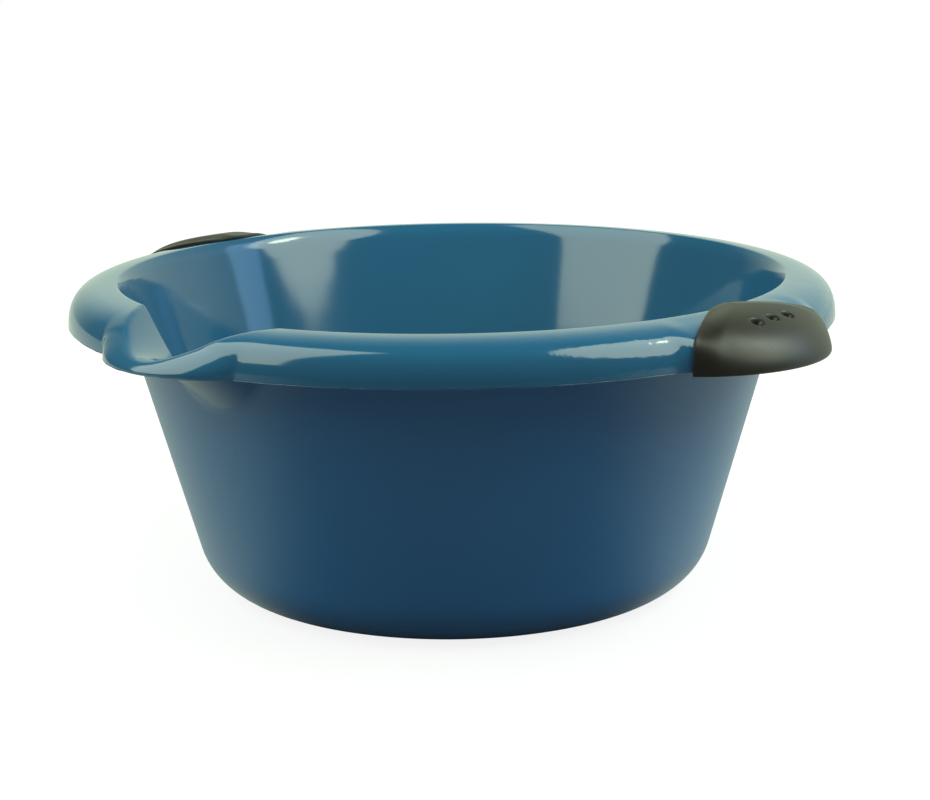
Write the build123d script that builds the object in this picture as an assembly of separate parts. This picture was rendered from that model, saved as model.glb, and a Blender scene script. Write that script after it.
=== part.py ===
from build123d import *
from math import cos, radians, tan
import os

os.makedirs("parts", exist_ok=True)

# Washing up bowl: a round tapered bowl with a rolled rim, a pouring spout and two soft grips.
# Units are millimetres and degrees. The origin is the middle of the underside of the base,
# on the surface that the bowl stands on. +Z is up, the spout points to -Y, the grips to +X and -X.

# Bowl
bowl_height = 159.0
lip_radius = 166.0
draft_angle = 15.5
base_corner_radius = 32.0
wall_thickness = 2.3
floor_thickness = 2.6

# Rolled rim: it curls over from the lip and ends in a skirt that hangs outside the wall
rim_width = 25.0
rim_depth = 19.5
rim_fullness_share = 0.68

# Groove that parts the foot ring from the middle of the base
groove_radius = 90.0
groove_width = 7.0
groove_depth = 1.0

# Spout: the rim swells out into a bowed beak whose top slopes down to the nose. A channel with a
# round bottom climbs out through it, steep at its foot and almost level at the nose.
beak_overhang = 13.5
beak_bow_radius = 62.0
beak_slope_angle = 31.0
beak_nose_height = 2.0
beak_edge_radius = 7.0
beak_crown_drop = 1.5
channel_round_radius = 28.5
channel_nose_drop = 14.2
channel_nose_angle = 7.0
channel_foot_angle = 45.0
channel_run = 48.5

# Ears: the rim swells out under each grip, hollow underneath for the fingers
ear_crown_radius = 22.0
ear_drop = 1.0
ear_fullness_share = 0.65

# Grips: soft covers that fit over the ears and hook under the edge of the skirt
grip_overhang = 22.0
grip_bow_radius = 65.0
grip_thickness = 2.2
grip_hem = 1.5
grip_hook_height = 5.0
grip_hook_thickness = 1.6
grip_lip_margin = 4.5
grip_inner_length = 27.0
grip_corner_radius = 20.0
grip_tip_angle = 25.4

# Three round dimples in the top of each grip
dimple_count = 3
dimple_spacing = 11.5
dimple_radius = 3.2
dimple_depth = 1.4
dimple_inset = 18.5

# Spare length by which a cutting tool runs past what it cuts
overrun = 6.0

# Worked out from the sizes above
draft = tan(radians(draft_angle))
skirt_z = bowl_height - rim_depth
rim_radius = lip_radius + rim_width
beak_reach = rim_radius + beak_overhang
beak_centre = beak_reach - beak_bow_radius
grip_reach = rim_radius + grip_overhang
grip_inner_reach = lip_radius + grip_lip_margin
ear_centre = grip_reach - grip_bow_radius
ear_bow_radius = grip_bow_radius - grip_thickness
hem_z = skirt_z - grip_hem
dimple_reach = grip_reach - dimple_inset


def cup(lip, low, high, corner_radius):
    """A solid with the wall's taper, whose side would pass the height of the rim at radius lip."""
    foot = lip - (bowl_height - low) * draft
    top = lip - (bowl_height - high) * draft
    outline = make_face(Polyline((0, low), (foot, low), (top, high), (0, high), close=True))
    corner = outline.vertices().sort_by_distance((foot, low))[0]
    return revolve(Plane.XZ * fillet(corner, corner_radius), Axis.Z)


def roof(start, crown, edge, low, top, fullness_share):
    """The upright area under a roof, level from start to crown, that falls to the skirt at edge."""
    corners = [(crown, top), (start, top), (start, low), (edge, low), (edge, skirt_z)]
    kept = [corner for index, corner in enumerate(corners) if index == 0 or corner != corners[index - 1]]
    side_handle = (edge, skirt_z + (top - skirt_z) * fullness_share)
    crown_handle = (crown + (edge - crown) * fullness_share, top)
    curve = Bezier((edge, skirt_z), side_handle, crown_handle, (crown, top))
    return Plane.XZ * make_face([curve, Polyline(*kept)])


def rim(inset, low):
    """The rolled rim as a solid ring, drawn in by inset all over. Its seam lies in the left ear."""
    start = lip_radius - rim_depth * draft - wall_thickness
    upright = roof(start, lip_radius, rim_radius - inset, low, bowl_height - inset, rim_fullness_share)
    return Rot(Z=180) * revolve(upright, Axis.Z)


def beak(inset, low):
    """The drawn-out rim of the spout: a bowed block, cut by a top that slopes down to its nose."""
    slope = radians(beak_slope_angle)
    nose = skirt_z + beak_nose_height - inset / cos(slope)
    back = beak_centre - beak_bow_radius
    rise = (beak_reach - back) * tan(slope)
    foot = low - beak_edge_radius
    side = make_face(
        Polyline((-beak_reach, foot), (-beak_reach, nose), (-back, nose + rise), (-back, foot), close=True)
    )
    wedge = extrude(Plane.YZ * side, beak_bow_radius, both=True)
    column = Pos(0, -beak_centre, foot) * extrude(Circle(beak_bow_radius - inset), rise + beak_reach)
    block = wedge & column
    if inset == 0:
        top_edge = block.faces().sort_by(Axis.Z)[-1].edges()
        block = fillet(top_edge, beak_edge_radius)
    block = split(block, Plane.XY.offset(low), keep=Keep.TOP)
    return split(block, Plane.XY.offset(bowl_height - beak_crown_drop - inset), keep=Keep.BOTTOM)


def ear(side, inset, low):
    """The swelling of the rim under a grip."""
    top = bowl_height - ear_drop - inset
    upright = roof(0, ear_crown_radius, ear_bow_radius - inset, low, top, ear_fullness_share)
    return Pos(side * ear_centre, 0, 0) * revolve(upright, Axis.Z)


def channel_floor(back):
    """Height of the channel's bottom at a distance back from the nose."""
    nose_slope = tan(radians(channel_nose_angle))
    foot_slope = tan(radians(channel_foot_angle))
    bend = (foot_slope - nose_slope) / (2 * channel_run)
    return bowl_height - channel_nose_drop - nose_slope * back - bend * back**2


def channel(outset):
    """The spout's channel as a solid bar, grown by outset, from beyond the nose into the bowl.

    Its section is a parabola, carried without a turn along the curve of its bottom.
    """
    outset_drop = outset / cos(radians((channel_nose_angle + channel_foot_angle) / 2))
    middle = channel_run / 2
    stations = [-overrun, middle, channel_run + overrun]
    depth = bowl_height + overrun - channel_floor(stations[-1])
    half = (2 * (channel_round_radius + outset) * depth) ** 0.5
    sections = []
    for back in stations:
        bottom = channel_floor(back) - outset_drop
        curve = Bezier((-half, bottom + depth), (0, bottom - depth), (half, bottom + depth))
        lid = Line((half, bottom + depth), (-half, bottom + depth))
        sections.append(Pos(0, back - beak_reach, 0) * (Plane.XZ * make_face([curve, lid])))
    return loft(sections)


def under_rim(inset, low):
    """The filled rim with its beak and ears, drawn in by inset."""
    return rim(inset, low) + beak(inset, low) + ear(1, inset, low) + ear(-1, inset, low)


def bowl_body():
    """Everything inside the bowl's outer surface, with the basin and the rim's hollow filled in."""
    across = wall_thickness / cos(radians(draft_angle))
    outside = cup(lip_radius + across, 0, bowl_height - wall_thickness, base_corner_radius)
    bar = channel(wall_thickness)
    keel = bar & beak(0, skirt_z - channel_run)
    hollow = under_rim(wall_thickness, skirt_z - overrun) - outside - bar
    return outside + under_rim(0, skirt_z) + keel, hollow


def basin():
    """The space inside the bowl."""
    return cup(
        lip_radius, floor_thickness, bowl_height + overrun, base_corner_radius - wall_thickness
    )


def foot_groove():
    """The ring cut from the underside of the base."""
    inner = groove_radius - groove_width
    return Cylinder(groove_radius, 2 * groove_depth) - Cylinder(inner, 2 * groove_depth)


filled, hollow = bowl_body()
bowl_shell = filled - hollow - basin() - channel(0) - foot_groove()


def grip_plan(low, high):
    """The upright block over a grip's plan: a short inner edge with a slant to each tip."""
    slant = tan(radians(grip_tip_angle))
    far = grip_reach + overrun
    half = grip_inner_length / 2
    wide = half + (far - grip_inner_reach) / slant
    outline = make_face(
        Polyline((grip_inner_reach, -half), (grip_inner_reach, half), (far, wide), (far, -wide), close=True)
    )
    inner_corners = outline.vertices().group_by(Axis.X)[0]
    plan = fillet(inner_corners, grip_corner_radius)
    return Pos(0, 0, low) * extrude(plan, high - low)


def grip_layer(inset, low):
    """The filled rim and right ear, drawn in by inset."""
    return rim(inset, low) + ear(1, inset, low)


def grip_cover():
    """The right-hand grip: the cover over the rim, its hem and the hook inside the skirt."""
    plan = grip_plan(hem_z, bowl_height + overrun)
    skirt_inside = grip_layer(wall_thickness, hem_z)
    cover = (grip_layer(-grip_thickness, hem_z) & plan) - filled - skirt_inside
    hook_block = grip_plan(hem_z, hem_z + grip_hook_height)
    hook = (skirt_inside & hook_block) - grip_layer(wall_thickness + grip_hook_thickness, hem_z - overrun)
    cover = cover + hook
    ball = (dimple_radius**2 + dimple_depth**2) / (2 * dimple_depth)
    for index in range(dimple_count):
        across = (index - (dimple_count - 1) / 2) * dimple_spacing
        reach = (dimple_reach**2 - across**2) ** 0.5
        spot, normal = cover.find_intersection_points(Axis((reach, across, 0), (0, 0, 1)))[-1]
        cover = cover - Pos(spot + normal * (ball - dimple_depth)) * Sphere(ball)
    return cover


grip_right = grip_cover()
grip_left = Rot(Z=180) * grip_right

export_step(bowl_shell, "parts/bowl_shell.step")
export_step(grip_right, "parts/grip_right.step")
export_step(grip_left, "parts/grip_left.step")
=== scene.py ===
import math

import bpy
import numpy as np
from mathutils import Matrix, Vector


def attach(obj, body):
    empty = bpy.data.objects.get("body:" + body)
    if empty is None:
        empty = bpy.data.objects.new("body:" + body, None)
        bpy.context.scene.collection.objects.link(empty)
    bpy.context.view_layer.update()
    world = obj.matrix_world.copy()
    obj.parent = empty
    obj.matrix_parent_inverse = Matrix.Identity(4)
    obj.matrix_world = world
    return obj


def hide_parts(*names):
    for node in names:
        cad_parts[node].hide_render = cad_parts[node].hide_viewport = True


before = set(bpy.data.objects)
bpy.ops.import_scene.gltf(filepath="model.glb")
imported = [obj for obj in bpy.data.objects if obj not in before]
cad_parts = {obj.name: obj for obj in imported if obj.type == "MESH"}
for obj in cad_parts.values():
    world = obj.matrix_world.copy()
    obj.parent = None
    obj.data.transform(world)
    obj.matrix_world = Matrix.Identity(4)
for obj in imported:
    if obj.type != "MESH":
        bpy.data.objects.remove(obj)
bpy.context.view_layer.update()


# Camera
# It stands a little over a metre off, in front of the space between the spout and the right grip,
# and looks slightly down. The lens is a short telephoto one.
mm = 0.001
view_height = 80 * mm
view_distance = 1086.6 * mm
view_azimuth = math.radians(43.2)
view_elevation = math.radians(13.40)
view_roll = math.radians(0.84)
view_yaw = math.radians(-0.31)
view_pitch = math.radians(0.61)
view_lens = 82.17


def add_object(name, data):
    """Adds an object to the scene."""
    added = bpy.data.objects.new(name, data)
    bpy.context.scene.collection.objects.link(added)
    return added


camera_data = bpy.data.cameras.new("camera")
camera_data.lens = view_lens
camera_data.clip_start = 50 * mm
camera_data.clip_end = 50
camera = add_object("camera", camera_data)
bpy.context.scene.camera = camera

to_right = Vector((math.cos(view_azimuth), math.sin(view_azimuth), 0))
to_camera = Vector((math.sin(view_azimuth), -math.cos(view_azimuth), 0))
sight = -to_camera * math.cos(view_elevation) - Vector((0, 0, math.sin(view_elevation)))
camera.location = Vector((0, 0, view_height)) - sight * view_distance
aim = sight.to_track_quat("-Z", "Y").to_matrix()
turn = Matrix.Rotation(view_yaw, 3, "Y") @ Matrix.Rotation(view_pitch, 3, "X")
turn = turn @ Matrix.Rotation(-view_roll, 3, "Z")
camera.matrix_world = Matrix.Translation(camera.location) @ (aim @ turn).to_4x4()


# Bowl shell
# One injection moulding in polypropylene, about 2.3 mm thick: base, tapered wall, rim curled over into
# a skirt, a spout drawn out of the rim and an ear under each grip. The inside and the rim come off a
# polished mould and gloss, and the outside of the wall is satin.
bowl_height = 159 * mm
lip_radius = 166 * mm
draft = math.tan(math.radians(15.5))
wall_thickness = 2.3 * mm
floor_thickness = 2.6 * mm
base_corner_radius = 32 * mm

rim_radius = 191 * mm
rim_depth = 19.5 * mm
rim_crown_fullness = 0.66
rim_side_fullness = 0.78

groove_radius = 90 * mm
groove_width = 7 * mm
groove_depth = 1 * mm

beak_reach = 204.5 * mm
beak_bow_radius = 62 * mm
beak_slope = math.tan(math.radians(25.5))
beak_nose_height = 4.4 * mm
beak_round_width = 10 * mm
beak_round_height = 9 * mm
beak_round_share = 0.85
beak_crown_drop = 5.5 * mm
beak_blend = 5 * mm
ridge_round = 2 * mm

channel_round_radius = 28 * mm
channel_nose_drop = 13.2 * mm
channel_nose_slope = math.tan(math.radians(7))
channel_foot_slope = math.tan(math.radians(45))
channel_run = 48.5 * mm
channel_skin = 3.6 * mm
channel_far_back = 90 * mm
channel_far_side = 62 * mm

ear_drop = 0.6 * mm
ear_run = 12 * mm
ear_crown_fullness = 0.58
ear_side_fullness = 0.50
ear_bow_radius = 62.8 * mm
ear_centre = 148 * mm
ear_blend = 3.5 * mm

skirt_z = bowl_height - rim_depth
beak_centre = beak_reach - beak_bow_radius
spout_angle = -math.pi / 2
bow_half_turn = math.pi / 4
curve_samples = 400
corner_samples = 60
far_below = -1.0
far_above = 1.0


def turn_between(angle, middle):
    """The turn from one angle to another, at most half a turn either way."""
    return np.angle(np.exp(1j * (angle - middle)))


def bow_reach(angle, middle, centre, bow):
    """How far from the bowl's axis a round bow with its own centre stands, and 0 where it doesn't."""
    off = turn_between(angle, middle)
    across = bow**2 - (centre * np.sin(off)) ** 2
    reach = centre * np.cos(off) + np.sqrt(np.clip(across, 0, None))
    return np.where((across > 0) & (np.abs(off) < bow_half_turn), reach, 0)


def soft_max(a, b, width):
    """The larger of the two, with the corner between them rounded where they are within width."""
    share = np.clip(1 - np.abs(a - b) / width, 0, 1)
    return np.maximum(a, b) + share**2 * width / 4


def ease(share):
    """A share from 0 to 1 that starts and stops softly."""
    share = np.clip(share, 0, 1)
    return share * share * (3 - 2 * share)


def rim_edge(angle, inset):
    """How far the skirt of the rim and the ears stands from the bowl's axis."""
    ears = np.maximum(
        bow_reach(angle, 0, ear_centre, ear_bow_radius),
        bow_reach(angle, math.pi, ear_centre, ear_bow_radius),
    )
    return soft_max(np.full_like(ears, rim_radius), ears, ear_blend) - inset


def skirt_edge(angle, inset):
    """The same with the spout's beak."""
    beak = bow_reach(angle, spout_angle, beak_centre, beak_bow_radius - inset)
    return np.maximum(rim_edge(angle, inset), beak)


def roof_curve(share, crown, side):
    """Height of the roof, from 1 at the lip to 0 at the skirt's edge, at a share of the way out."""
    t = np.linspace(0, 1, curve_samples)
    across = 3 * (1 - t) ** 2 * t * crown + 3 * (1 - t) * t**2 + t**3
    height = (1 - t) ** 3 + 3 * (1 - t) ** 2 * t + 3 * (1 - t) * t**2 * side
    return np.interp(share, across, height)


def rim_roof(x, y, inset):
    """Height of the rolled rim: level at the lip, then curving down to the edge of the skirt."""
    edge = rim_edge(np.arctan2(y, x), inset)
    reach = np.hypot(x, y)
    share = (reach - lip_radius) / (edge - lip_radius)
    on_ear = ease((edge + inset - rim_radius) / ear_run)
    top = bowl_height - inset - ear_drop * on_ear * ease((reach - lip_radius) / ear_run)
    plain = roof_curve(share, rim_crown_fullness, rim_side_fullness)
    swollen = roof_curve(share, ear_crown_fullness, ear_side_fullness)
    height = skirt_z + (top - skirt_z) * (plain + (swollen - plain) * on_ear)
    return np.where(share > 1, far_below, height)


def beak_roof(x, y, inset):
    """The spout's bowed top: a slope that falls to the nose and rounds over towards its outline."""
    depth = beak_bow_radius - inset - np.hypot(x, -y - beak_centre)
    lowering = inset * math.hypot(1, beak_slope)
    plane = skirt_z + beak_nose_height + beak_slope * (beak_reach + y) - lowering
    plane = np.minimum(plane, bowl_height - beak_crown_drop - inset)
    fall = np.clip((plane - skirt_z) * beak_round_share, 0, beak_round_height)
    share = np.clip((beak_round_width - depth) / beak_round_width, 0, 1)
    height = plane - fall * (1 - np.sqrt(1 - share**2))
    return np.where(depth < 0, far_below, np.maximum(height, skirt_z))


def channel_height(x, y, outset):
    """Height of the channel's surface: a parabola carried along the curve of its bottom."""
    back = beak_reach + y
    bend = (channel_foot_slope - channel_nose_slope) / (2 * channel_run)
    bottom = bowl_height - channel_nose_drop - channel_nose_slope * back - bend * back**2
    rise = x**2 / (2 * (channel_round_radius + outset))
    drop = outset * channel_skin / wall_thickness
    near = (back < channel_far_back) & (np.abs(x) < channel_far_side)
    return np.where(near, bottom - drop + rise, far_above)


def top_height(x, y, inset):
    """The rim, the ears and the beak together, cut by the channel, with the edge between rounded."""
    together = soft_max(rim_roof(x, y, inset), beak_roof(x, y, inset), beak_blend)
    return -soft_max(-together, -channel_height(x, y, inset), ridge_round)


def corner_arc(foot, floor, radius):
    """The rounded corner between a level floor and the tapered wall: radii, heights."""
    lean = math.atan(draft)
    length = radius / math.tan((math.pi / 2 + lean) / 2)
    turn = np.linspace(-math.pi / 2, -lean, corner_samples)
    return foot - length + radius * np.cos(turn), floor + radius + radius * np.sin(turn)


def inner_wall_radius(z):
    """How far the inside of the wall stands from the bowl's axis."""
    return lip_radius - (bowl_height - z) * draft


def outer_wall_radius(z):
    """How far the outside of the wall stands from the bowl's axis."""
    return inner_wall_radius(z) + wall_thickness / math.cos(math.atan(draft))


# how many rows of the mesh each stretch of the section gets, in order from the middle of the floor
row_counts = {
    "floor": 8,
    "inner corner": 14,
    "inner wall": 20,
    "roof": 78,
    "skirt edge": 6,
    "under the roof": 40,
    "outer wall": 20,
    "outer corner": 16,
    "base": 26,
}
stretches = list(row_counts)
pole_radius = 0.5 * mm
under_roof_end = 150 * mm
least_gap = 0.01 * mm
wall_samples = 1200
roof_samples = 900
under_roof_samples = 1200
sample_bias = 1.5


def section(angle):
    """The closed section of the moulding at one angle, as the dense points of each stretch."""
    ux, uy = math.cos(angle), math.sin(angle)
    # inside: floor, corner and wall, up to the lip or to the channel
    inner_radius = base_corner_radius - wall_thickness
    arc = corner_arc(inner_wall_radius(floor_thickness), floor_thickness, inner_radius)
    z = np.linspace(arc[1][-1], bowl_height, wall_samples)
    r = inner_wall_radius(z)
    under = z < top_height(r * ux, r * uy, 0)
    stop = len(z) if under.all() else int(np.argmin(under))
    wall = (r[:stop], z[:stop])
    # over the top: from there out to the skirt's edge
    edge = float(skirt_edge(np.array([angle]), 0)[0])
    q = edge - (edge - wall[0][-1]) * np.linspace(1, 0, roof_samples) ** sample_bias
    q = q[(q > wall[0][-1]) & (q < edge - least_gap)]
    over = (np.append(q, edge), np.append(top_height(q * ux, q * uy, 0), skirt_z))
    # below: the same shapes drawn in by the wall's thickness, back to the outside of the wall
    edge_in = float(skirt_edge(np.array([angle]), wall_thickness)[0])
    q = edge_in - (edge_in - under_roof_end) * np.linspace(0, 1, under_roof_samples) ** sample_bias
    low = top_height(q * ux, q * uy, wall_thickness)
    low[0] = skirt_z
    wall_z = bowl_height - (outer_wall_radius(bowl_height) - q) / draft
    free = wall_z > low
    stop = len(q) if free.all() else int(np.argmin(free))
    back = (q[:stop], low[:stop])
    # outside: wall, corner and base with its groove
    corner = corner_arc(outer_wall_radius(0), 0, base_corner_radius)
    groove_inside = groove_radius - groove_width
    base_r = [corner[0][0], groove_radius, groove_radius, groove_inside, groove_inside, pole_radius]
    base_z = [0, 0, groove_depth, groove_depth, 0, 0]
    return {
        "floor": (np.array([pole_radius, arc[0][0]]), np.array([floor_thickness, floor_thickness])),
        "inner corner": arc,
        "inner wall": wall,
        "roof": over,
        "skirt edge": (np.array([edge, edge_in]), np.array([skirt_z, skirt_z])),
        "under the roof": back,
        "outer wall": (np.array([back[0][-1], corner[0][-1]]), np.array([back[1][-1], corner[1][-1]])),
        "outer corner": (corner[0][::-1], corner[1][::-1]),
        "base": (np.array(base_r), np.array(base_z)),
    }


def smooth_line(points, width, step, closed=False):
    """The line's points, averaged along it over a bell of that width."""
    reach = int(4 * width / step)
    bell = np.exp(-0.5 * (np.arange(-reach, reach + 1) * step / width) ** 2)
    bell /= bell.sum()
    padded = np.pad(points, ((reach, reach), (0, 0)), "wrap" if closed else "edge")
    return np.stack([np.convolve(column, bell, "valid") for column in padded.T], 1)


# how broadly the mould rounds the corners: finely on the skirt's edge and the groove, more on the
# lip, the spout and the roof, and most where the underside of the rim runs into the wall
line_step = 0.2 * mm
edge_rounding = 0.4 * mm
roof_rounding = 1.1 * mm
root_rounding = 3.2 * mm
spout_root_rounding = 1.0 * mm
spout_root_turn = math.radians(20)
root_run = 11 * mm
before_lip = 14 * mm
before_lip_run = 6 * mm
before_edge = 4 * mm


def drawn_section(angle):
    """The section's points for the mesh, with its corners rounded."""
    line = [np.stack(part, 1) for part in section(angle).values()]
    starts = []
    ends = []
    length = 0.0
    for index, part in enumerate(line):
        if index:
            length += float(np.hypot(*(part[0] - line[index - 1][-1])))
        starts.append(length)
        length += float(np.hypot(*np.diff(part, axis=0).T).sum())
        ends.append(length)
    joined = np.concatenate(line)
    along = np.concatenate([[0], np.cumsum(np.hypot(*np.diff(joined, axis=0).T))])
    even = np.arange(0, along[-1], line_step)
    dense = np.stack([np.interp(even, along, joined[:, k]) for k in range(2)], 1)
    lip = starts[stretches.index("roof")]
    edge = starts[stretches.index("skirt edge")]
    root = starts[stretches.index("outer wall")]
    roof_share = np.clip((even - lip + before_lip) / before_lip_run, 0, 1)
    roof_share = roof_share * np.clip((edge - before_edge - even) / before_edge, 0, 1)
    root_share = np.exp(-(((even - root) / root_run) ** 2))
    rounded = smooth_line(dense, edge_rounding, line_step)
    at_spout = abs(turn_between(angle, spout_angle)) <= spout_root_turn
    root_width = spout_root_rounding if at_spout else root_rounding
    for share, width in ((roof_share, roof_rounding), (root_share, root_width)):
        rounded = rounded + (smooth_line(dense, width, line_step) - rounded) * share[:, None]
    spots = [
        start + (end - start) * (np.arange(count) / count)
        for start, end, count in zip(starts, ends, row_counts.values())
    ]
    spots = np.concatenate(spots + [[ends[-1]]])
    return np.stack([np.interp(spots, even, rounded[:, k]) for k in range(2)], 1)


spout_half_turn = math.radians(18)
ear_side_angle = math.radians(17)
ear_side_half_turn = math.radians(5)
spout_step = math.radians(0.3)
ear_side_step = math.radians(0.5)
plain_step = math.radians(1.6)
closing_gap = 1e-9


def column_angles():
    """Angles of the mesh's columns, close together at the spout and where the ears leave the rim."""
    angles = []
    angle = -math.pi
    while angle < math.pi - closing_gap:
        angles.append(angle)
        at_spout = abs(turn_between(angle, spout_angle)) < spout_half_turn
        ear = min(abs(angle), math.pi - abs(angle))
        at_ear = abs(ear - ear_side_angle) < ear_side_half_turn
        angle += spout_step if at_spout else ear_side_step if at_ear else plain_step
    scale = 2 * math.pi / (angle + math.pi)
    return (np.array(angles) + math.pi) * scale - math.pi


def grid_faces(columns, rows, ring, loop):
    """Faces between columns of points. A ring joins its last column to its first, a loop its rows."""
    faces = []
    for j in range(columns if ring else columns - 1):
        k = (j + 1) % columns
        for i in range(rows if loop else rows - 1):
            n = (i + 1) % rows
            faces.append((j * rows + i, j * rows + n, k * rows + n, k * rows + i))
    return faces


def add_mesh(name, verts, faces):
    """A smooth mesh of those points and faces."""
    mesh = bpy.data.meshes.new(name)
    mesh.from_pydata(verts.tolist(), [], faces)
    mesh.update()
    mesh.shade_smooth()
    return mesh


angles = column_angles()
sections = np.array([drawn_section(angle) for angle in angles])
# a little rounding round the bowl too, which softens the creases beside the spout
neighbour_reach = 3
neighbour_width = 0.9
neighbours = range(-neighbour_reach, neighbour_reach + 1)
bell = np.exp(-0.5 * (np.array(neighbours) / neighbour_width) ** 2)
bell /= bell.sum()
sections = sum(weight * np.roll(sections, k, axis=0) for k, weight in zip(neighbours, bell))
columns, rows = sections.shape[:2]
radii = sections[:, :, 0]
heights = sections[:, :, 1]
grid = np.stack([radii * np.cos(angles)[:, None], radii * np.sin(angles)[:, None], heights], 2)
faces = grid_faces(columns, rows, ring=True, loop=False)
# the middle of the floor and of the base
inside = columns * rows
underside = inside + 1
verts = np.concatenate([grid.reshape(-1, 3), [[0, 0, floor_thickness], [0, 0, 0]]])
for j in range(columns):
    k = (j + 1) % columns
    faces.append((inside, j * rows, k * rows))
    faces.append((underside, k * rows + rows - 1, j * rows + rows - 1))
moulding = add_mesh("bowl_shell_moulding", verts, faces)
shell = add_object("bowl_moulding", moulding)


def colour(hex_value):
    """A linear colour from an sRGB hex value."""
    channels = [int(hex_value[i : i + 2], 16) / 255 for i in (0, 2, 4)]
    return [c / 12.92 if c <= 0.04045 else ((c + 0.055) / 1.055) ** 2.4 for c in channels] + [1.0]


def add_node(tree, kind, settings=None, inputs=None):
    """Adds a node with its settings. Each input is a value, or a socket that is linked to it."""
    node = tree.nodes.new(kind)
    for name, value in (settings or {}).items():
        setattr(node, name, value)
    for name, value in (inputs or {}).items():
        if isinstance(value, bpy.types.NodeSocket):
            tree.links.new(value, node.inputs[name])
        else:
            node.inputs[name].default_value = value
    return node


def new_material(name):
    """A material with an empty tree of nodes."""
    material = bpy.data.materials.new(name)
    material.use_nodes = True
    material.node_tree.nodes.clear()
    return material, material.node_tree


# Polypropylene off a polished mould: a clear gloss, with the slight waviness of a thin moulding in
# its reflections and the faint clouding of the pigment where the melt flowed
cloud_size = 60 * mm
wave_size = 34 * mm
wave_height = 0.5 * mm
sink_size = 5 * mm
sink_depth = 0.16 * mm
sink_start_x = 140 * mm
sink_full_x = 165 * mm
sink_start_radius = 174 * mm
sink_full_radius = 184 * mm

polished, tree = new_material("polypropylene_polished")
place = add_node(tree, "ShaderNodeTexCoord").outputs["Object"]
cloud = add_node(
    tree, "ShaderNodeTexNoise", inputs={"Vector": place, "Scale": 1 / cloud_size, "Detail": 2.0}
).outputs["Fac"]
tint = add_node(
    tree, "ShaderNodeMix", {"data_type": "RGBA"}, {0: cloud, 6: colour("275d81"), 7: colour("2b6387")}
).outputs[2]
wave = add_node(
    tree, "ShaderNodeTexNoise", inputs={"Vector": place, "Scale": 1 / wave_size, "Detail": 1.0}
).outputs["Fac"]
bump = add_node(
    tree, "ShaderNodeBump", inputs={"Height": wave, "Strength": 0.35, "Distance": wave_height}
).outputs[0]
# beside the ears, where the moulding is thicker, the rim has sunk in small hollows
aside = add_node(tree, "ShaderNodeSeparateXYZ", inputs={0: place}).outputs["X"]
aside = add_node(tree, "ShaderNodeMath", {"operation": "ABSOLUTE"}, {0: aside}).outputs[0]
by_ears = add_node(
    tree,
    "ShaderNodeMapRange",
    inputs={"Value": aside, "From Min": sink_start_x, "From Max": sink_full_x},
).outputs[0]
level_place = add_node(
    tree, "ShaderNodeVectorMath", {"operation": "MULTIPLY"}, {0: place, 1: (1, 1, 0)}
).outputs[0]
away = add_node(
    tree, "ShaderNodeVectorMath", {"operation": "LENGTH"}, {0: level_place}
).outputs["Value"]
on_rim = add_node(
    tree,
    "ShaderNodeMapRange",
    inputs={"Value": away, "From Min": sink_start_radius, "From Max": sink_full_radius},
).outputs[0]
sink = add_node(
    tree, "ShaderNodeTexNoise", inputs={"Vector": place, "Scale": 1 / sink_size, "Detail": 2.0}
).outputs["Fac"]
sink = add_node(tree, "ShaderNodeMath", {"operation": "MULTIPLY"}, {0: sink, 1: by_ears}).outputs[0]
sink = add_node(tree, "ShaderNodeMath", {"operation": "MULTIPLY"}, {0: sink, 1: on_rim}).outputs[0]
bump = add_node(
    tree,
    "ShaderNodeBump",
    inputs={"Height": sink, "Strength": 1.0, "Distance": sink_depth, "Normal": bump},
).outputs[0]
shader = add_node(
    tree,
    "ShaderNodeBsdfPrincipled",
    inputs={"Base Color": tint, "Roughness": 0.1, "IOR": 1.6, "Normal": bump},
)
add_node(tree, "ShaderNodeOutputMaterial", inputs={"Surface": shader.outputs[0]})

# Polypropylene off a fine spark-eroded mould: a satin grain that blurs what it reflects. The real
# grain is about 0.1 mm, and it is drawn at 0.5 mm so that it shows.
grain_size = 0.5 * mm
grain_height = 0.04 * mm

satin, tree = new_material("polypropylene_satin")
place = add_node(tree, "ShaderNodeTexCoord").outputs["Object"]
cloud = add_node(
    tree, "ShaderNodeTexNoise", inputs={"Vector": place, "Scale": 1 / cloud_size, "Detail": 2.0}
).outputs["Fac"]
# partly painted light: the plastic's own colour, written lighter here than on the polished inside to
# make up for the little light that reaches the outside of the wall
tint = add_node(
    tree, "ShaderNodeMix", {"data_type": "RGBA"}, {0: cloud, 6: colour("2f699d"), 7: colour("336fa3")}
).outputs[2]
grain = add_node(
    tree, "ShaderNodeTexNoise", inputs={"Vector": place, "Scale": 1 / grain_size, "Detail": 2.0}
).outputs["Fac"]
bump = add_node(
    tree, "ShaderNodeBump", inputs={"Height": grain, "Strength": 0.25, "Distance": grain_height}
).outputs[0]
shader = add_node(
    tree,
    "ShaderNodeBsdfPrincipled",
    inputs={"Base Color": tint, "Roughness": 0.36, "IOR": 1.49, "Normal": bump},
)
add_node(tree, "ShaderNodeOutputMaterial", inputs={"Surface": shader.outputs[0]})

# polished from the floor over the roof to the edge of the skirt, satin from there to the base
moulding.materials.append(polished)
moulding.materials.append(satin)
polished_rows = sum(row_counts[name] for name in ("floor", "inner corner", "inner wall", "roof"))
row_of_face = np.tile(np.arange(rows - 1), columns)
finish = np.zeros(len(moulding.polygons), dtype=np.int32)
finish[: len(row_of_face)] = row_of_face >= polished_rows
finish[len(row_of_face) + 1 :: 2] = 1
moulding.polygons.foreach_set("material_index", finish)

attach(shell, "root")
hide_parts("bowl_shell")


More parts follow.
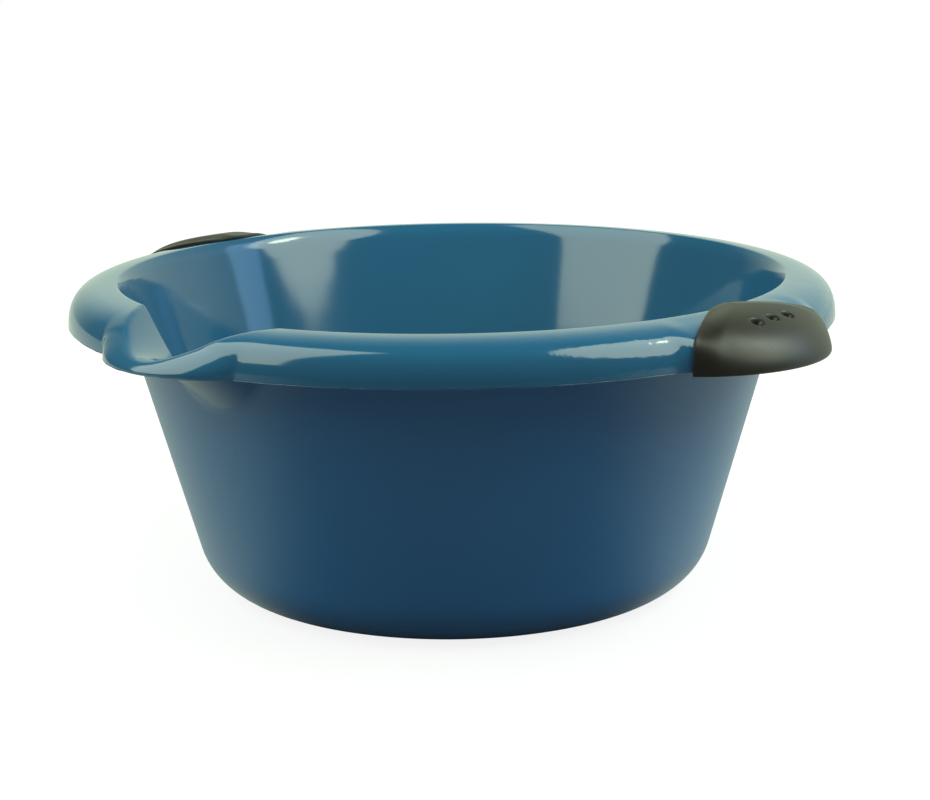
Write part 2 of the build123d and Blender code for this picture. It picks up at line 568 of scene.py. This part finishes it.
# Flash
# The thin, uneven thread of plastic that the mould leaves along the edge of the skirt, where its two
# halves meet, with a few nibs in it. It is part of the same moulding.
flash_radius = 0.2 * mm
flash_swing = 0.36 * mm
flash_run = 3
nib_radius = 0.35 * mm
nib_half_turn = math.radians(0.35)
nib_count = 26
flash_columns = 1440
flash_sides = 6

random = np.random.default_rng(7)
around = np.arange(flash_columns) / flash_columns * 2 * math.pi - math.pi
unevenness = smooth_line(random.uniform(-1, 1, (flash_columns, 1)), flash_run, 1, closed=True)
thread = flash_radius + flash_swing * unevenness[:, 0]
for spot in random.uniform(-math.pi, math.pi, nib_count):
    off = turn_between(around, spot)
    thread = np.maximum(thread, nib_radius * np.exp(-((off / nib_half_turn) ** 2)))
reach = skirt_edge(around, 0) - flash_radius
swing = -np.arange(flash_sides) / flash_sides * 2 * math.pi
ring_r = reach[:, None] + thread[:, None] * np.cos(swing)
ring_z = skirt_z + flash_radius / 2 + thread[:, None] * np.sin(swing)
ring = np.stack([ring_r * np.cos(around)[:, None], ring_r * np.sin(around)[:, None], ring_z], 2)
faces = grid_faces(flash_columns, flash_sides, ring=True, loop=True)
thread_mesh = add_mesh("skirt_flash", ring.reshape(-1, 3), faces)
thread_mesh.materials.append(polished)
flash = add_object("skirt_flash", thread_mesh)
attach(flash, "root")


# Grips
# Soft covers in a matt thermoplastic elastomer, moulded on to the two ears. Each wraps the rim from
# near the lip round the skirt to a hook inside, thins out towards its slanted edges and has a row of
# three finger dimples in its top.
grip_thickness = 2.2 * mm
grip_top_thickness = 3.9 * mm
grip_edge_thickness = 1.7 * mm
grip_edge_run = 11 * mm
grip_end_share = 0.95
grip_flare = 0.6 * mm
grip_flare_height = 10 * mm
grip_sink = 0.25 * mm
grip_hem = 1.5 * mm
grip_hook_height = 5 * mm
grip_hook_thickness = 1.6 * mm
grip_inner_reach = 167.5 * mm
grip_inner_half = 8.5 * mm
grip_corner_radius = 22 * mm
grip_slant = 1 / math.tan(math.radians(26.6))
grip_slant_run = 25 * mm
grip_round = 0.4 * mm
grip_columns = 200
grip_tip_crowding = 0.12
slant_samples = 4000
grip_steps = 260
grip_rows = {"top": 84, "hook": 22, "underside": 20, "inner edge": 4}


def grip_sheet(inset):
    """The surface that runs inset below the rim within a grip's plan: points (column, step, xyz)."""
    # the inner edge in plan, from the middle of its short straight to the tip on the skirt's edge
    swing = np.linspace(0, math.pi / 2 - math.atan(grip_slant), corner_samples)
    corner_x = grip_inner_reach + grip_corner_radius * (1 - np.cos(swing))
    corner_y = grip_inner_half + grip_corner_radius * (np.sin(swing) - math.tan(swing[-1] / 2))
    slant_x = corner_x[-1] + np.linspace(0, grip_slant_run, slant_samples)
    slant_y = corner_y[-1] + (slant_x - corner_x[-1]) * grip_slant
    within = np.hypot(slant_x, slant_y) < rim_edge(np.arctan2(slant_y, slant_x), inset)
    x = np.concatenate([[grip_inner_reach], corner_x, slant_x[within][1:]])
    y = np.concatenate([[0], corner_y, slant_y[within][1:]])
    line = np.stack([np.append(x[:0:-1], x), np.append(-y[:0:-1], y)], 1)
    # the columns run from there to the skirt's edge, closer together towards the tips
    along = np.concatenate([[0], np.cumsum(np.hypot(*np.diff(line, axis=0).T))])
    share = np.linspace(0, 1, grip_columns)
    spots = (share - grip_tip_crowding * np.sin(2 * math.pi * share)) * along[-1]
    start = np.stack([np.interp(spots, along, line[:, k]) for k in range(2)], 1)
    bearing = math.atan2(y[-1], x[-1]) * (2 * share - 1)
    edge = rim_edge(bearing, inset)
    stop = np.stack([edge * np.cos(bearing), edge * np.sin(bearing)], 1)
    steps = 1 - (1 - np.linspace(0, 1, grip_steps)) ** 2
    plan = start[:, None] + (stop - start)[:, None] * steps[None, :, None]
    height = rim_roof(plan[:, :, 0], plan[:, :, 1], inset)
    height[:, -1] = skirt_z
    return np.concatenate([plan, np.maximum(height, skirt_z)[:, :, None]], 2)


def grip_loops():
    """The grip's closed sections, one for each column: points (column, row, xyz)."""
    lower = grip_sheet(grip_sink)
    upper = grip_sheet(-grip_thickness)
    to_end = lower[:, :, 0] - grip_inner_reach
    to_slant = to_end * grip_slant - np.abs(lower[:, :, 1]) + grip_inner_half
    to_slant = to_slant / math.hypot(grip_slant, 1)
    above = ease((lower[:, :, 2] - skirt_z) / (bowl_height - skirt_z))
    full = grip_thickness + (grip_top_thickness - grip_thickness) * above
    full = full * (grip_end_share + (1 - grip_end_share) * ease(to_end / grip_edge_run))
    thickness = grip_edge_thickness + (full - grip_edge_thickness) * ease(to_slant / grip_edge_run)
    share = (thickness + grip_sink) / (grip_thickness + grip_sink)
    upper = lower + (upper - lower) * share[:, :, None]
    # the skirt of the cover flares out a little towards its hem
    out = upper[:, :, :2] - np.array([ear_centre, 0])
    out /= np.hypot(out[:, :, 0], out[:, :, 1])[:, :, None]
    flare = grip_flare * np.clip(1 - (upper[:, :, 2] - skirt_z) / grip_flare_height, 0, 1) ** 2
    upper[:, :, :2] += out * flare[:, :, None]
    inward = np.gradient(lower[:, -1, :2], axis=0) @ np.array([[0.0, 1.0], [-1.0, 0.0]])
    inward /= np.hypot(inward[:, 0], inward[:, 1])[:, None]
    hem_z = skirt_z - grip_hem
    wall_in = lower[:, -1, :2] + inward * (wall_thickness - 2 * grip_sink)
    hook_in = wall_in + inward * (grip_hook_thickness + grip_sink)
    loops = []
    for column in range(grip_columns):
        turns = [
            (*upper[column, -1, :2], hem_z),
            (*hook_in[column], hem_z),
            (*hook_in[column], hem_z + grip_hook_height),
            (*wall_in[column], hem_z + grip_hook_height),
            (*wall_in[column], skirt_z),
        ]
        line = np.concatenate([upper[column], turns, lower[column, ::-1]])
        top_end = len(upper[column]) - 1
        loops.append(rounded_loop(line, top_end, top_end + len(turns)))
    return np.array(loops)


def rounded_loop(line, top_end, hook_end):
    """A closed line's points for the mesh, with its corners rounded, most of them on its top."""
    closed = np.append(line, line[:1], 0)
    along = np.concatenate([[0], np.cumsum(np.linalg.norm(np.diff(closed, axis=0), axis=1))])
    even = np.linspace(0, along[-1], int(along[-1] / line_step), endpoint=False)
    dense = np.stack([np.interp(even, along, closed[:, k]) for k in range(3)], 1)
    dense = smooth_line(dense, grip_round, even[1], closed=True)
    stops = [0, along[top_end], along[hook_end], along[-2], along[-1]]
    spots = np.concatenate([
        np.linspace(start, end, count, endpoint=False)
        for start, end, count in zip(stops, stops[1:], grip_rows.values())
    ])
    wrapped = np.append(dense, dense[:1], 0)
    even = np.append(even, along[-1])
    return np.stack([np.interp(spots, even, wrapped[:, k]) for k in range(3)], 1)


loops = grip_loops()
columns, rows = loops.shape[:2]
verts = np.concatenate([loops.reshape(-1, 3), loops[[0, -1]].mean(axis=1)])
faces = grid_faces(columns, rows, ring=False, loop=True)
# the two tips are closed round a point in their middle
first_tip = columns * rows
last_tip = first_tip + 1
last_column = first_tip - rows
for i in range(rows):
    n = (i + 1) % rows
    faces.append((first_tip, n, i))
    faces.append((last_tip, last_column + i, last_column + n))
cover_mesh = add_mesh("grip_cover", verts, faces)

# Thermoplastic elastomer off an eroded mould: a dark grey that scatters light softly, with a fine
# matt grain. The grain is drawn at 0.4 mm so that it shows. A faint round mark on the front is where
# the melt came in.
grip_cloud_size = 20 * mm
grip_grain_size = 0.4 * mm
grip_grain_height = 0.05 * mm
gate_place = Vector((207.9, -19.0, 148.6)) * mm
gate_radius = 2.2 * mm
gate_core_share = 0.3
gate_depth = 0.3 * mm
gate_strength = 0.6

elastomer, tree = new_material("elastomer_matt")
place = add_node(tree, "ShaderNodeTexCoord").outputs["Object"]
grain = add_node(
    tree, "ShaderNodeTexNoise", inputs={"Vector": place, "Scale": 1 / grip_grain_size, "Detail": 2.0}
).outputs["Fac"]
bump = add_node(
    tree, "ShaderNodeBump", inputs={"Height": grain, "Strength": 0.3, "Distance": grip_grain_height}
).outputs[0]
cloud = add_node(
    tree, "ShaderNodeTexNoise", inputs={"Vector": place, "Scale": 1 / grip_cloud_size, "Detail": 3.0}
).outputs["Fac"]
tint = add_node(
    tree, "ShaderNodeMix", {"data_type": "RGBA"}, {0: cloud, 6: colour("1b1814"), 7: colour("211e19")}
).outputs[2]
# the left grip is the right one turned by half a turn, so the mark's place turns with the sign of x
side = add_node(tree, "ShaderNodeSeparateXYZ", inputs={0: place}).outputs["X"]
side = add_node(tree, "ShaderNodeMath", {"operation": "SIGN"}, {0: side}).outputs[0]
turned = add_node(tree, "ShaderNodeCombineXYZ", inputs={"X": side, "Y": side, "Z": 1.0}).outputs[0]
turned = add_node(
    tree, "ShaderNodeVectorMath", {"operation": "MULTIPLY"}, {0: place, 1: turned}
).outputs[0]
gate = add_node(
    tree, "ShaderNodeVectorMath", {"operation": "DISTANCE"}, {0: turned, 1: gate_place}
).outputs["Value"]
gate = add_node(
    tree,
    "ShaderNodeMapRange",
    {"interpolation_type": "SMOOTHSTEP"},
    {
        "Value": gate,
        "From Min": gate_radius,
        "From Max": gate_core_share * gate_radius,
        "To Min": 0.0,
        "To Max": gate_strength,
    },
).outputs[0]
tint = add_node(
    tree, "ShaderNodeMix", {"data_type": "RGBA"}, {0: gate, 6: tint, 7: colour("141310")}
).outputs[2]
bump = add_node(
    tree,
    "ShaderNodeBump",
    inputs={"Height": gate, "Strength": 0.6, "Distance": -gate_depth, "Normal": bump},
).outputs[0]
shader = add_node(
    tree,
    "ShaderNodeBsdfPrincipled",
    inputs={"Base Color": tint, "Roughness": 0.42, "IOR": 1.48, "Normal": bump},
)
add_node(tree, "ShaderNodeOutputMaterial", inputs={"Surface": shader.outputs[0]})

# The row of dimples, pressed into the top of the cover where it lies over a row of points
dimple_sizes = {
    "Count": 3,
    "Spacing": 11.5 * mm,
    "Radius": 3.4 * mm,
    "Depth": 3.2 * mm,
    "Reach": 194.2 * mm,
}
dimple_bottom_share = 0.42
dimple_least_tilt = 0.3

tree = bpy.data.node_groups.new("dimple row", "GeometryNodeTree")
tree.interface.new_socket("Geometry", in_out="INPUT", socket_type="NodeSocketGeometry")
tree.interface.new_socket("Geometry", in_out="OUTPUT", socket_type="NodeSocketGeometry")
for name in dimple_sizes:
    kind = "NodeSocketInt" if name == "Count" else "NodeSocketFloat"
    tree.interface.new_socket(name, in_out="INPUT", socket_type=kind)
entry = add_node(tree, "NodeGroupInput").outputs
# a row of points across the grip
gaps = add_node(
    tree, "ShaderNodeMath", {"operation": "SUBTRACT"}, {0: entry["Count"], 1: 1.0}
).outputs[0]
length = add_node(
    tree, "ShaderNodeMath", {"operation": "MULTIPLY"}, {0: gaps, 1: entry["Spacing"]}
).outputs[0]
first_y = add_node(tree, "ShaderNodeMath", {"operation": "MULTIPLY"}, {0: length, 1: -0.5}).outputs[0]
row_start = add_node(
    tree, "ShaderNodeCombineXYZ", inputs={"X": entry["Reach"], "Y": first_y}
).outputs[0]
row_step = add_node(tree, "ShaderNodeCombineXYZ", inputs={"Y": entry["Spacing"]}).outputs[0]
row = add_node(
    tree,
    "GeometryNodeMeshLine",
    inputs={"Count": entry["Count"], "Start Location": row_start, "Offset": row_step},
).outputs[0]
# how far each point of the cover is from them in plan, and how deep that presses it
position = add_node(tree, "GeometryNodeInputPosition").outputs[0]
parts = add_node(tree, "ShaderNodeSeparateXYZ", inputs={0: position}).outputs
in_plan = add_node(
    tree, "ShaderNodeCombineXYZ", inputs={"X": parts["X"], "Y": parts["Y"]}
).outputs[0]
distance = add_node(
    tree, "GeometryNodeProximity", {"target_element": "POINTS"}, {0: row, "Sample Position": in_plan}
).outputs["Distance"]
bottom = add_node(
    tree, "ShaderNodeMath", {"operation": "MULTIPLY"}, {0: entry["Radius"], 1: dimple_bottom_share}
).outputs[0]
depth = add_node(
    tree,
    "ShaderNodeMapRange",
    {"interpolation_type": "SMOOTHSTEP"},
    {
        "Value": distance,
        "From Min": entry["Radius"],
        "From Max": bottom,
        "To Min": 0.0,
        "To Max": entry["Depth"],
    },
).outputs[0]
normal = add_node(tree, "GeometryNodeInputNormal").outputs[0]
inwards = add_node(
    tree, "ShaderNodeVectorMath", {"operation": "SCALE"}, {0: normal, "Scale": depth}
).outputs[0]
inwards = add_node(
    tree, "ShaderNodeVectorMath", {"operation": "SCALE"}, {0: inwards, "Scale": -1.0}
).outputs[0]
tilt = add_node(tree, "ShaderNodeSeparateXYZ", inputs={0: normal}).outputs["Z"]
on_top = add_node(
    tree, "FunctionNodeCompare", {"operation": "GREATER_THAN"}, {0: tilt, 1: dimple_least_tilt}
).outputs[0]
moved = add_node(
    tree,
    "GeometryNodeSetPosition",
    inputs={0: entry["Geometry"], "Selection": on_top, "Offset": inwards},
).outputs[0]
joined = add_node(tree, "GeometryNodeRealizeInstances", inputs={0: moved}).outputs[0]
covered = add_node(
    tree, "GeometryNodeSetMaterial", inputs={0: joined, "Material": elastomer}
).outputs[0]
add_node(tree, "NodeGroupOutput", inputs={0: covered})

form = add_object("grip_form", cover_mesh)
press = form.modifiers.new("dimples", "NODES")
press.node_group = tree
for item in tree.interface.items_tree:
    if item.in_out == "INPUT" and item.name in dimple_sizes:
        press[item.identifier] = dimple_sizes[item.name]
bpy.context.view_layer.update()
pressed = bpy.data.meshes.new_from_object(form.evaluated_get(bpy.context.evaluated_depsgraph_get()))
bpy.data.objects.remove(form)
pressed.shade_smooth()

for side, turn in (("right", 0), ("left", math.pi)):
    cover = pressed.copy()
    cover.transform(Matrix.Rotation(turn, 4, "Z"))
    grip = add_object("grip_cover_" + side, cover)
    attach(grip, "root")
    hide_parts("grip_" + side)


# Studio
# Two large softboxes, one on each side of the camera, lean in over the bowl, with a cool panel and a
# small spot on the right. A white sweep stands behind, and the room in front and above is dark.
studio_tone = "f2ffe4"
panel_tone = "9ccbff"
lamp_distance = 1.12


def bearing_vector(azimuth, elevation):
    """The direction at an azimuth, positive to the camera's right, and an elevation, in degrees."""
    level = math.cos(math.radians(elevation))
    across = to_right * math.sin(math.radians(azimuth)) + to_camera * math.cos(math.radians(azimuth))
    return across * level + Vector((0, 0, math.sin(math.radians(elevation))))


# each lamp's name, its azimuth, elevation and lean in degrees, its width and length in metres, its
# shape, its radiance and its colour
for name, azimuth, elevation, lean, width, length, shape, radiance, tone in (
    ("softbox_left", -77, 46, -22, 0.82, 1.14, "RECTANGLE", 3.5, studio_tone),
    ("softbox_right", 69, 47.4, 23, 0.86, 1.00, "ELLIPSE", 4.2, studio_tone),
    ("panel_right", 94, 30, 23, 0.25, 0.90, "RECTANGLE", 2.4, panel_tone),
    ("spot_right", 84, 50, 0, 0.16, 0.24, "ELLIPSE", 13.0, studio_tone),
):
    back = bearing_vector(azimuth, elevation)
    upright = (Vector((0, 0, 1)) - back * back.z).normalized()
    up = Matrix.Rotation(math.radians(lean), 3, -back) @ upright
    lamp_data = bpy.data.lights.new(name, "AREA")
    lamp_data.shape = shape
    lamp_data.size = width
    lamp_data.size_y = length
    lamp_data.color = colour(tone)[:3]
    area = width * length * (math.pi / 4 if shape == "ELLIPSE" else 1)
    lamp_data.energy = radiance * math.pi * area
    lamp = add_object(name, lamp_data)
    placed = Matrix((up.cross(back), up, back)).transposed().to_4x4()
    lamp.matrix_world = Matrix.Translation(back * lamp_distance) @ placed
    lamp.visible_camera = False

# What the camera sees past the table is white. What the gloss shows is the white sweep behind, which
# fades as it rises and towards the front, and what lights the bowl besides the lamps is a low, even
# fill.
white = (1, 1, 1, 1)
shade_tone = "eeffdf"
fill_tone = "dfecff"
fill_level = 0.27
sweep_level = 0.95
front_level = 0.10
sweep_azimuth = 152
sweep_side = {"From Min": 0.25, "From Max": 0.75}
sweep_top = {"From Min": 0.92, "From Max": 0.35}

world = bpy.data.worlds.new("studio")
bpy.context.scene.world = world
world.use_nodes = True
tree = world.node_tree
tree.nodes.clear()
way = add_node(tree, "ShaderNodeTexCoord").outputs["Generated"]
rise = add_node(tree, "ShaderNodeSeparateXYZ", inputs={0: way}).outputs["Z"]
level_way = add_node(
    tree, "ShaderNodeVectorMath", {"operation": "MULTIPLY"}, {0: way, 1: (1, 1, 0)}
).outputs[0]
level_way = add_node(
    tree, "ShaderNodeVectorMath", {"operation": "NORMALIZE"}, {0: level_way}
).outputs[0]
sweep_way = bearing_vector(sweep_azimuth, 0)
facing = add_node(
    tree, "ShaderNodeVectorMath", {"operation": "DOT_PRODUCT"}, {0: level_way, 1: sweep_way}
).outputs["Value"]
sweep = add_node(
    tree,
    "ShaderNodeMapRange",
    inputs={"Value": facing, "To Min": front_level, "To Max": sweep_level, **sweep_side},
).outputs[0]
below = add_node(tree, "ShaderNodeMapRange", inputs={"Value": rise, **sweep_top}).outputs[0]
room = add_node(tree, "ShaderNodeMath", {"operation": "MULTIPLY"}, {0: sweep, 1: below}).outputs[0]
path = add_node(tree, "ShaderNodeLightPath").outputs
seen = add_node(
    tree,
    "ShaderNodeMath",
    {"operation": "MAXIMUM"},
    {0: path["Is Camera Ray"], 1: path["Is Transmission Ray"]},
).outputs[0]
level = add_node(
    tree, "ShaderNodeMix", {"data_type": "FLOAT"}, {0: path["Is Glossy Ray"], 2: fill_level, 3: room}
).outputs[0]
level = add_node(tree, "ShaderNodeMix", {"data_type": "FLOAT"}, {0: seen, 2: level, 3: 1.0}).outputs[0]
cast = add_node(
    tree,
    "ShaderNodeMix",
    {"data_type": "RGBA"},
    {0: path["Is Glossy Ray"], 6: colour(fill_tone), 7: colour(shade_tone)},
).outputs[2]
cast = add_node(tree, "ShaderNodeMix", {"data_type": "RGBA"}, {0: seen, 6: cast, 7: white}).outputs[2]
sky = add_node(tree, "ShaderNodeBackground", inputs={"Color": cast, "Strength": level})
add_node(tree, "ShaderNodeOutputWorld", inputs={"Surface": sky.outputs[0]})

# The table throws back little light. What the camera sees of it is lifted to white, all the more
# further off, and the bowl's shadow stays. It also glows for reflections alone, white at the sides and
# behind and dark in front: a painted reflection in the bowl's gloss.
table_half = 4.0
table_colour = (0.2, 0.2, 0.2, 1)
near_lift = 0.86
lift_start = 0.2
lift_full = 0.6
side_glow = 0.75
front_glow = 0.02
glow_start = 0.85
glow_full = 0.35

corners = [(x * table_half, y * table_half, 0) for x, y in ((-1, -1), (1, -1), (1, 1), (-1, 1))]
table_mesh = bpy.data.meshes.new("table")
table_mesh.from_pydata(corners, [], [(0, 1, 2, 3)])
table = add_object("table", table_mesh)
paper, tree = new_material("paper_white")
place = add_node(tree, "ShaderNodeTexCoord").outputs["Object"]
away = add_node(tree, "ShaderNodeVectorMath", {"operation": "LENGTH"}, {0: place}).outputs["Value"]
lift = add_node(
    tree,
    "ShaderNodeMapRange",
    {"interpolation_type": "SMOOTHSTEP"},
    {"Value": away, "From Min": lift_start, "From Max": lift_full, "To Min": near_lift, "To Max": 1.0},
).outputs[0]
way = add_node(tree, "ShaderNodeVectorMath", {"operation": "NORMALIZE"}, {0: place}).outputs[0]
facing = add_node(
    tree, "ShaderNodeVectorMath", {"operation": "DOT_PRODUCT"}, {0: way, 1: to_camera}
).outputs["Value"]
# painted reflection: a glow that only glossy rays see, strong at the sides and behind the bowl and
# faint in front of it
glow = add_node(
    tree,
    "ShaderNodeMapRange",
    {"interpolation_type": "SMOOTHSTEP"},
    {
        "Value": facing,
        "From Min": glow_start,
        "From Max": glow_full,
        "To Min": front_glow,
        "To Max": side_glow,
    },
).outputs[0]
path = add_node(tree, "ShaderNodeLightPath").outputs
seen = add_node(
    tree,
    "ShaderNodeMath",
    {"operation": "MAXIMUM"},
    {0: path["Is Camera Ray"], 1: path["Is Transmission Ray"]},
).outputs[0]
lift = add_node(tree, "ShaderNodeMath", {"operation": "MULTIPLY"}, {0: lift, 1: seen}).outputs[0]
glow = add_node(
    tree, "ShaderNodeMath", {"operation": "MULTIPLY"}, {0: glow, 1: path["Is Glossy Ray"]}
).outputs[0]
level = add_node(tree, "ShaderNodeMath", {"operation": "ADD"}, {0: lift, 1: glow}).outputs[0]
cast = add_node(
    tree, "ShaderNodeMix", {"data_type": "RGBA"}, {0: seen, 6: colour(shade_tone), 7: white}
).outputs[2]
matt = add_node(tree, "ShaderNodeBsdfDiffuse", inputs={"Color": table_colour})
lit = add_node(tree, "ShaderNodeEmission", inputs={"Color": cast, "Strength": level})
both = add_node(tree, "ShaderNodeAddShader", inputs={0: matt.outputs[0], 1: lit.outputs[0]})
add_node(tree, "ShaderNodeOutputMaterial", inputs={"Surface": both.outputs[0]})
table_mesh.materials.append(paper)

bpy.context.scene.view_settings.view_transform = "Standard"
